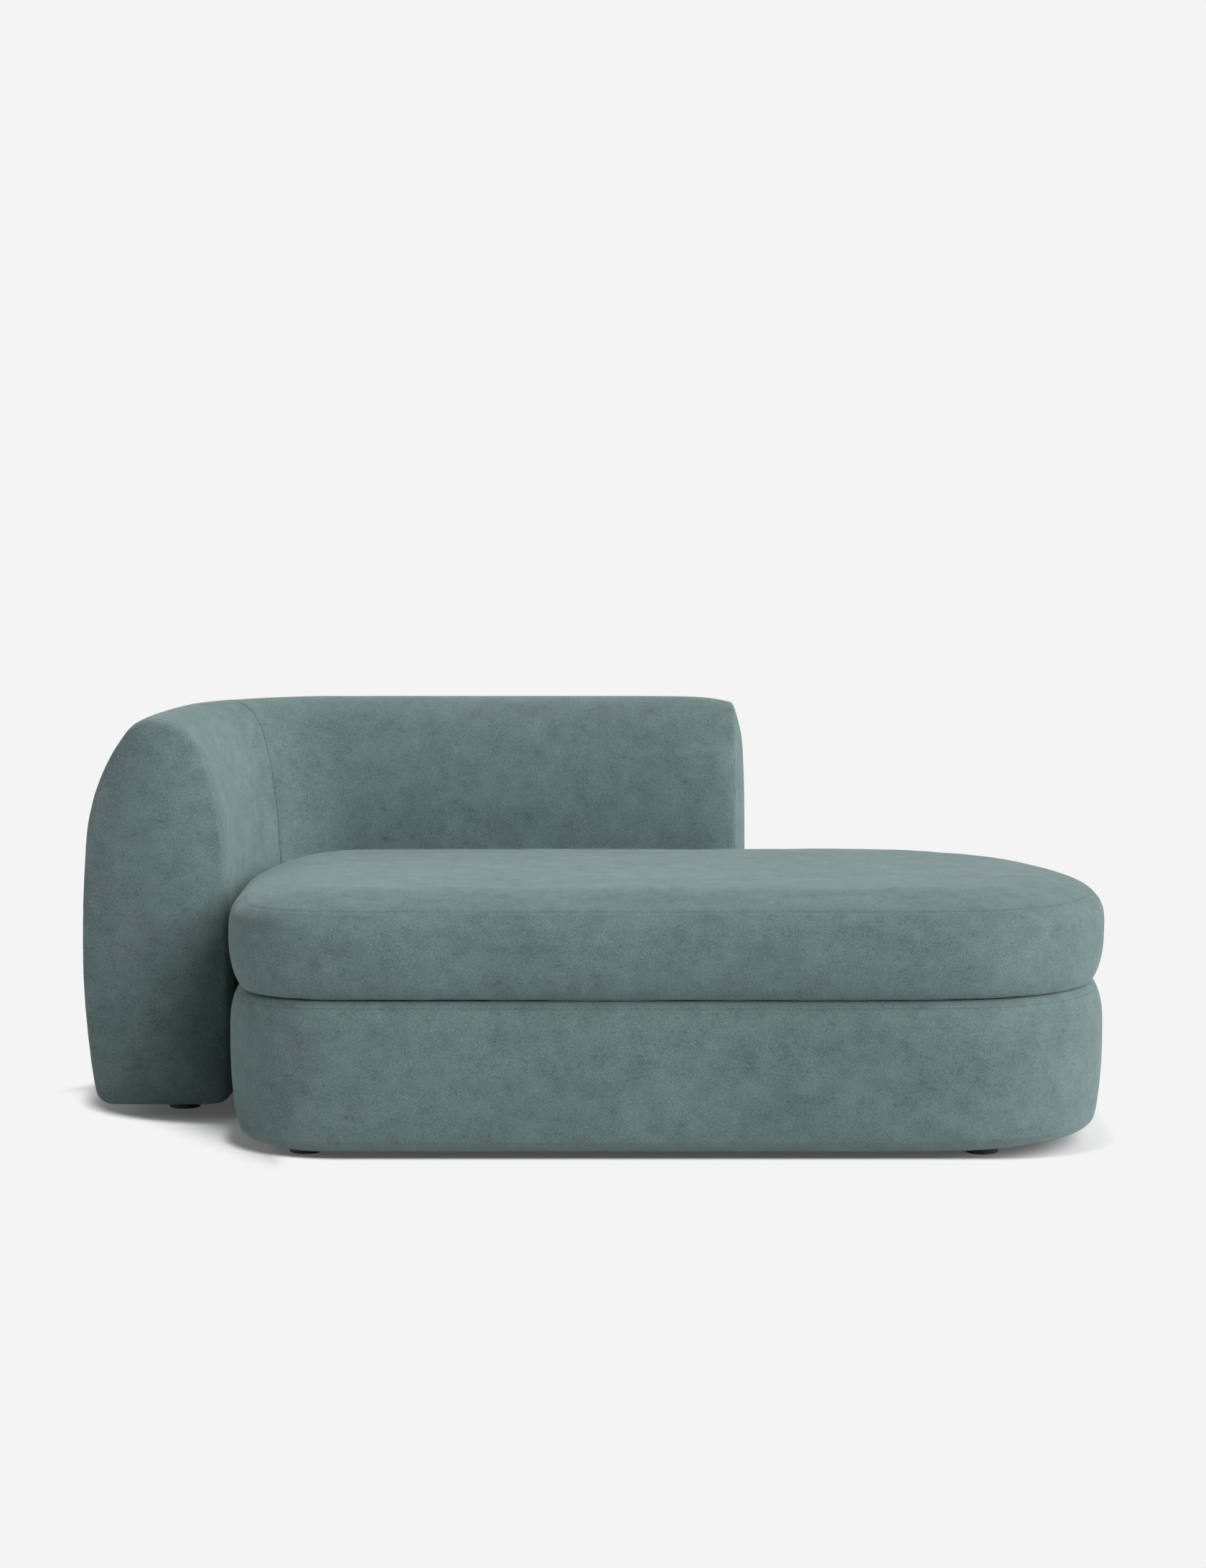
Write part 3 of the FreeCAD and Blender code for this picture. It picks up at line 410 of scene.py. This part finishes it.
def swell(piece, seams, held_below):
    """Blow the cover up like a filled cushion. Its seams and what lies below a height are held."""
    rest = [vert.co.copy() for vert in piece.data.vertices]
    pins = piece.vertex_groups.new(name="held")
    for index, place in enumerate(rest):
        away = min(off_plane(place, at, normal) for at, normal, strength in seams)
        hold = 1.0 if place.z < held_below else max(0.0, 1.0 - away / HELD_BESIDE_SEAM)
        pins.add([index], hold, "REPLACE")
    cloth = piece.modifiers.new("Fill", "CLOTH")
    cloth.settings.quality = 4
    cloth.settings.mass = COVER_MASS
    cloth.settings.vertex_group_mass = "held"
    cloth.settings.use_pressure = True
    cloth.settings.uniform_pressure_force = FILL_PRESSURE
    cloth.settings.effector_weights.gravity = 0.0
    for number in range(1, FILL_FRAMES + 1):
        bpy.context.scene.frame_set(number)
    bake(piece)
    bpy.context.scene.frame_set(1)
    piece.vertex_groups.clear()
    for vert, place in zip(piece.data.vertices, rest):
        moved = vert.co - place
        if moved.length > 0:
            capped = SWELL * math.tanh(moved.length / SWELL)
            vert.co = place + moved * (capped / moved.length)


def subdivide(piece):
    """Round the cover by one subdivision."""
    smooth = piece.modifiers.new("Smooth", "SUBSURF")
    smooth.levels = smooth.render_levels = 1
    bake(piece)


def unevenness(piece, height):
    """Give the cover the slight unevenness of stuffed fabric."""

    def move(bm):
        for vert in bm.verts:
            share = min(1.0, max(0.0, (vert.co.z - EVEN_BELOW) / EVEN_FADE))
            waves = noise.fractal(
                vert.co * UNEVEN_SCALE, UNEVEN_SMOOTHNESS, UNEVEN_STEP_UP, UNEVEN_STEPS
            )
            vert.co += vert.normal * height * share * waves

    edit(piece, move)


def sew(piece, seams):
    """Press a seam into the cover along each plane, and mark the line along it where the finish
    paints shade.
    """

    def cut(bm):
        mark = bm.verts.layers.float.new("seam")
        for at, normal, strength in seams:
            near = [
                face for face in bm.faces
                if off_plane(face.calc_center_median(), at, normal) < SEAM_CUTS_REACH * SEAM_WIDTH
            ]
            geom = with_edges(near)
            for share in (-1.0, -SEAM_LINE, 0.0, SEAM_LINE, 1.0):
                place = at + normal * SEAM_WIDTH * share
                geom = bmesh.ops.bisect_plane(
                    bm, geom=geom, plane_co=place, plane_no=normal
                )["geom"]
        bm.normal_update()
        for vert in bm.verts:
            for at, normal, strength in seams:
                away = off_plane(vert.co, at, normal)
                if away > GATHER_WIDTH:
                    continue
                gather = (1.0 - away / GATHER_WIDTH) ** 2
                groove = strength * max(0.0, 1.0 - away / SEAM_WIDTH) ** SEAM_SHARPNESS
                ripple = noise.noise(vert.co * GATHER_SCALE) * gather
                vert.co -= vert.normal * (SEAM_DEPTH * groove + GATHER_DEPTH * ripple)
                # The mark is where the velvet paints shade along the seam's groove
                vert[mark] += strength * max(0.0, 1.0 - away / (SEAM_LINE * SEAM_WIDTH))

    edit(piece, cut)


base_top = CREASE - BASE_CLEARANCE
base = seat_pad(
    "seat_base_cover", BASE_UNDERSIDE, base_top, 0.0, BASE_LOWER_EDGE, BASE_UPPER_EDGE, BASE_RIM
)
cushion_low = CREASE + CUSHION_CLEARANCE
cushion_side = reach(CUSHION_LOWER_EDGE)[1] + CUSHION_BAND + reach(CUSHION_UPPER_EDGE)[0]
cushion = seat_pad(
    "seat_cushion_cover", cushion_low, cushion_low + cushion_side, CUSHION_PROUD,
    CUSHION_LOWER_EDGE, CUSHION_UPPER_EDGE, CUSHION_RIM,
)
backrest = backrest_pad("backrest_cover")

# A seam is a place on its plane, the plane's normal, and the seam's strength
corner_turn = math.radians(CORNER_SEAM_TURN)
corner_normal = X * math.sin(corner_turn) + Y * math.cos(corner_turn)
base_seams = [(Z * BASE_SEAM, Z, BASE_SEAM_STRENGTH)]
cushion_seams = [
    (Z * CUSHION_LOWER_SEAM, Z, CUSHION_SEAM_STRENGTH),
    (Z * CUSHION_UPPER_SEAM, Z, CUSHION_SEAM_STRENGTH),
]
backrest_seams = [
    (Y * (ARM_FRONT + ARM_SEAM_SET_BACK), Y, ARM_SEAM_STRENGTH),
    (X * BACK_END, X, BACK_SEAM_STRENGTH),
    (CORNER_CENTRE, corner_normal, CORNER_SEAM_STRENGTH),
]

for piece, seams, held_below, uneven in (
    (base, base_seams, HELD_OVER_FLOOR, COVER_UNEVEN),
    (cushion, cushion_seams, CREASE + HELD_OVER_CREASE, CUSHION_UNEVEN),
    (backrest, backrest_seams, HELD_OVER_FLOOR, COVER_UNEVEN),
):
    swell(piece, seams, held_below)
    subdivide(piece)
    unevenness(piece, uneven)
    sew(piece, seams)
    for face in piece.data.polygons:
        face.use_smooth = True

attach(base, "chaise")
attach(backrest, "chaise")
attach(cushion, "seat_cushion")
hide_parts("base_side_panel", "base_top_panel", "base_side_foam")
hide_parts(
    "arm_cover", "back_cover", "arm_end_panel", "back_end_panel", "back_foam"
)
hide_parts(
    "cushion_bottom_panel", "cushion_side_band", "cushion_top_panel", "cushion_wrap"
)


class Value:
    """A node's output. Arithmetic on it adds Math nodes."""

    def __init__(self, finish, socket):
        self.finish = finish
        self.socket = socket

    def math(self, operation, first, second):
        return self.finish.node("Math", {"operation": operation}, {0: first, 1: second})

    def __add__(self, other):
        return self.math("ADD", self, other)

    def __radd__(self, other):
        return self.math("ADD", other, self)

    def __sub__(self, other):
        return self.math("SUBTRACT", self, other)

    def __rsub__(self, other):
        return self.math("SUBTRACT", other, self)

    def __mul__(self, other):
        return self.math("MULTIPLY", self, other)

    def __rmul__(self, other):
        return self.math("MULTIPLY", other, self)

    def or_more(self, other):
        """The larger of two values."""
        return self.math("MAXIMUM", self, other)


class Finish:
    """The shader of a material or world, and the one way in which nodes are added to it."""

    def __init__(self, owner, shader="BsdfPrincipled", output="OutputMaterial", **constants):
        owner.use_nodes = True
        self.owner = owner
        self.tree = owner.node_tree
        self.tree.nodes.clear()
        self.output = self.tree.nodes.new("ShaderNode" + output)
        self.shader = self.tree.nodes.new("ShaderNode" + shader)
        self.tree.links.new(self.shader.outputs[0], self.output.inputs["Surface"])
        for socket, value in constants.items():
            self.set(socket.replace("_", " "), value)

    def node(self, kind, settings=None, inputs=None, output=0):
        """Add a node, with its settings and the values or links of its sockets."""
        node = self.tree.nodes.new("ShaderNode" + kind)
        for name, value in (settings or {}).items():
            setattr(node, name, value)
        for key, value in (inputs or {}).items():
            self.feed(node.inputs[key], value)
        return Value(self, node.outputs[output])

    def feed(self, socket, value):
        if isinstance(value, Value):
            self.tree.links.new(value.socket, socket)
        else:
            socket.default_value = value

    def set(self, socket, value):
        self.feed(self.shader.inputs[socket], value)

    def over(self, kind, colour, share):
        """Show a second shader over the first, as far as share goes."""
        first = Value(self, self.shader.outputs[0])
        second = self.node(kind, inputs={"Color": colour})
        both = self.node("MixShader", inputs={"Fac": share, 1: first, 2: second})
        self.feed(self.output.inputs["Surface"], both)

    def seen(self):
        """One for rays that show the background, nought for rays that only light the object."""
        rays = ("Is Camera Ray", "Is Glossy Ray", "Is Transmission Ray")
        camera_ray, glossy_ray, through_ray = [self.node("LightPath", output=ray) for ray in rays]
        return camera_ray.or_more(glossy_ray).or_more(through_ray)

    def vector(self, operation, first, second, output=0):
        return self.node("VectorMath", {"operation": operation}, {0: first, 1: second}, output)

    def mix(self, share, first, second):
        settings = {"data_type": "RGBA", "clamp_factor": True}
        return self.node("Mix", settings, {0: share, 6: first, 7: second}, 2)

    def place(self):
        """Where a point lies on the piece, which is where it lies at rest."""
        return self.node("TexCoord", output=3)

    def stretched(self, scale):
        return self.node("Mapping", inputs={"Vector": self.place(), "Scale": scale})

    def clouds(self, where, scale, detail=2.0, roughness=0.5):
        inputs = {"Vector": where, "Scale": scale, "Detail": detail, "Roughness": roughness}
        return self.node("TexNoise", inputs=inputs)

    def rows(self, direction, scale):
        inputs = {"Vector": self.place(), "Scale": scale}
        return self.node("TexWave", {"bands_direction": direction}, inputs)

    def smooth(self, value, low, high):
        inputs = {"Value": value, "From Min": low, "From Max": high}
        return self.node("MapRange", {"interpolation_type": "SMOOTHSTEP"}, inputs)

    def clear_of(self, low, high, corner, border):
        """Nought in a rectangle of the floor with round corners, and one past its soft border."""
        centre = [(a + b) / 2 for a, b in zip(low, high)] + [0.0]
        half = [(b - a) / 2 - corner for a, b in zip(low, high)] + [0.0]
        out = self.vector("SUBTRACT", self.place(), centre)
        out = self.node("VectorMath", {"operation": "ABSOLUTE"}, {0: out})
        out = self.vector("MAXIMUM", self.vector("SUBTRACT", out, half), (0.0, 0.0, 0.0))
        beside = self.node("VectorMath", {"operation": "LENGTH"}, {0: out}, 1) - corner
        return self.smooth(beside, 0.0, border)

    def bump(self, height, distance, strength=1.0):
        inputs = {"Height": height, "Distance": distance, "Strength": strength}
        return self.node("Bump", inputs=inputs)


def material(name, shader="BsdfPrincipled", **constants):
    return Finish(bpy.data.materials.new(name), shader, **constants)


def velvet():
    """Short-pile velvet: pile brushed light and dark, smudges, fine grain, and painted shade along
    the seam lines.
    """
    cloth = material(
        "velvet", Roughness=0.92, Sheen_Weight=0.24, Sheen_Roughness=0.45,
        Sheen_Tint=(0.72, 0.9, 0.88, 1), Specular_IOR_Level=0.15,
    )
    broad = cloth.clouds(cloth.stretched((1.0, 1.0, 1.5)), scale=5.0, detail=3.0)
    patches = cloth.clouds(cloth.place(), scale=28.0, detail=6.0, roughness=0.62)
    smudges = cloth.clouds(cloth.stretched((1.0, 1.0, 2.2)), scale=48.0, detail=3.0)
    smudges = cloth.smooth(smudges, 0.56, 0.78)
    grain = cloth.clouds(cloth.place(), scale=520.0, detail=3.0, roughness=0.75)
    nap_and_seam_shade = 1.0 + (broad - 0.5) * BROAD_NAP + (patches - 0.5) * PATCHY_NAP
    nap_and_seam_shade = nap_and_seam_shade + (grain - 0.5) * GRAIN_NAP - smudges * SMUDGE_NAP
    # Painted shade: the pile is darkened along the seam lines, standing in for the shade in their
    # grooves
    seam = cloth.node("Attribute", {"attribute_name": "seam"}, output=2)
    nap_and_seam_shade = nap_and_seam_shade * (1.0 - seam * SEAM_PAINTED_SHADE)
    cloth.set("Base Color", cloth.mix(nap_and_seam_shade * 0.5, BLACK, PILE))
    cloth.set("Normal", cloth.bump(grain, 0.0008, 0.6))
    return cloth.owner


def plywood():
    wood = material("birch_plywood", Roughness=0.6)
    rings = wood.clouds(wood.stretched((1.0, 12.0, 12.0)), scale=5.0, detail=4.0)
    wood.set("Base Color", wood.mix(rings, (0.62, 0.47, 0.31, 1), (0.80, 0.67, 0.48, 1)))
    wood.set("Normal", wood.bump(rings, 0.0004, 0.4))
    return wood.owner


def soft(name, dark, light, scale):
    pad = material(name, Roughness=0.95)
    cells = pad.clouds(pad.place(), scale, detail=3.0)
    pad.set("Base Color", pad.mix(cells, dark, light))
    pad.set("Normal", pad.bump(cells, 0.0008, 0.5))
    return pad.owner


def webbing():
    strap = material("elastic_webbing", Roughness=0.85)
    weave = strap.rows("X", 90.0) * 0.6 + strap.rows("Y", 160.0) * 0.4
    strap.set("Base Color", strap.mix(weave, (0.02, 0.02, 0.02, 1), (0.10, 0.10, 0.095, 1)))
    strap.set("Normal", strap.bump(weave, 0.0005, 0.6))
    return strap.owner


def black_plastic():
    foot = material("black_plastic", Base_Color=(0.012, 0.012, 0.012, 1))
    grain = foot.clouds(foot.place(), scale=1200.0, detail=1.0)
    foot.set("Roughness", 0.5 + grain * 0.15)
    foot.set("Normal", foot.bump(grain, 0.0001, 0.3))
    return foot.owner


def zinc():
    metal = material("zinc_plated_steel", Metallic=1.0)
    stains = metal.clouds(metal.place(), scale=180.0, detail=3.0)
    metal.set("Base Color", metal.mix(stains, (0.52, 0.53, 0.54, 1), (0.70, 0.71, 0.72, 1)))
    metal.set("Roughness", 0.3 + stains * 0.2)
    return metal.owner


def floor_paper():
    """Paper that shows its own colour, except where it keeps the object's shade."""
    paper = material("floor_paper", "BsdfDiffuse", Color=FLOOR_GREY)
    towards_open = paper.vector("DOT_PRODUCT", paper.place(), OPEN_SIDE, 1)
    clear_of_arm = paper.clear_of(*ARM_SHADE).or_more(
        paper.smooth(towards_open, OPEN_FROM, OPEN_TO)
    )
    clear = paper.clear_of(*SEAT_SHADE) * paper.clear_of(*BACK_SHADE) * clear_of_arm
    paper.over("Emission", PAPER, (clear * (1.0 - SHADE_LIFTED) + SHADE_LIFTED) * paper.seen())
    return paper.owner


finishes = {
    "upholstery": velvet(),
    "foam": soft("cream_foam", (0.66, 0.60, 0.42, 1), (0.82, 0.77, 0.60, 1), 500.0),
    "wadding": soft("white_wadding", (0.74, 0.74, 0.72, 1), (0.90, 0.90, 0.88, 1), 160.0),
    "frame_wood": plywood(),
    "webbing": webbing(),
    "dust_cover": soft("black_nonwoven", (0.006, 0.006, 0.006, 1), (0.03, 0.03, 0.03, 1), 900.0),
    "feet": black_plastic(),
    "fasteners": zinc(),
}
for part in frame["record"]["subparts"]:
    for holder in frame["nodes"][part["node"]].material_slots:
        holder.material = finishes[part["material_slot"]]
for piece in (base, cushion, backrest):
    piece.data.materials.clear()
    piece.data.materials.append(finishes["upholstery"])

# Floor and backdrop
bm = bmesh.new()
bmesh.ops.create_grid(bm, x_segments=1, y_segments=1, size=FLOOR_HALF)
floor = finish_mesh(bm, "floor")
floor.data.materials.append(floor_paper())

world = bpy.data.worlds.new("studio")
bpy.context.scene.world = world
air = Finish(world, "Background", "OutputWorld", Color=WHITE, Strength=AIR_STRENGTH)
air.over("Background", PAPER, air.seen())


def sun(name, azimuth, height, strength, softness=LAMP_SOFTNESS):
    """A far lamp: degrees to the right of the camera's side, and degrees above the floor."""
    lamp = bpy.data.lights.new(name, "SUN")
    lamp.energy = strength
    lamp.angle = math.radians(softness)
    holder = bpy.data.objects.new(name, lamp)
    turn, rise = math.radians(azimuth), math.radians(height)
    ahead = math.cos(rise)
    towards = Vector((math.sin(turn) * ahead, -math.cos(turn) * ahead, math.sin(rise)))
    holder.rotation_euler = towards.to_track_quat("Z", "Y").to_euler()
    bpy.context.scene.collection.objects.link(holder)


sun("window", azimuth=75, height=20, strength=1.85)
sun("window_top", azimuth=72, height=50, strength=1.4)
sun("front", azimuth=35, height=26, strength=1.3)
sun("behind", azimuth=160, height=40, strength=0.75)
sun("fill", azimuth=-80, height=22, strength=0.65, softness=40)

camera = bpy.data.cameras.new("camera")
camera.sensor_width = SENSOR
camera.lens = LENS
camera.clip_end = CAMERA_REACH
viewer = bpy.data.objects.new("camera", camera)
viewer.location = CAMERA_PLACE
viewer.rotation_euler = (math.pi / 2 - CAMERA_DOWN, 0, 0)
bpy.context.scene.collection.objects.link(viewer)
bpy.context.scene.camera = viewer
bpy.context.scene.view_settings.view_transform = "Standard"
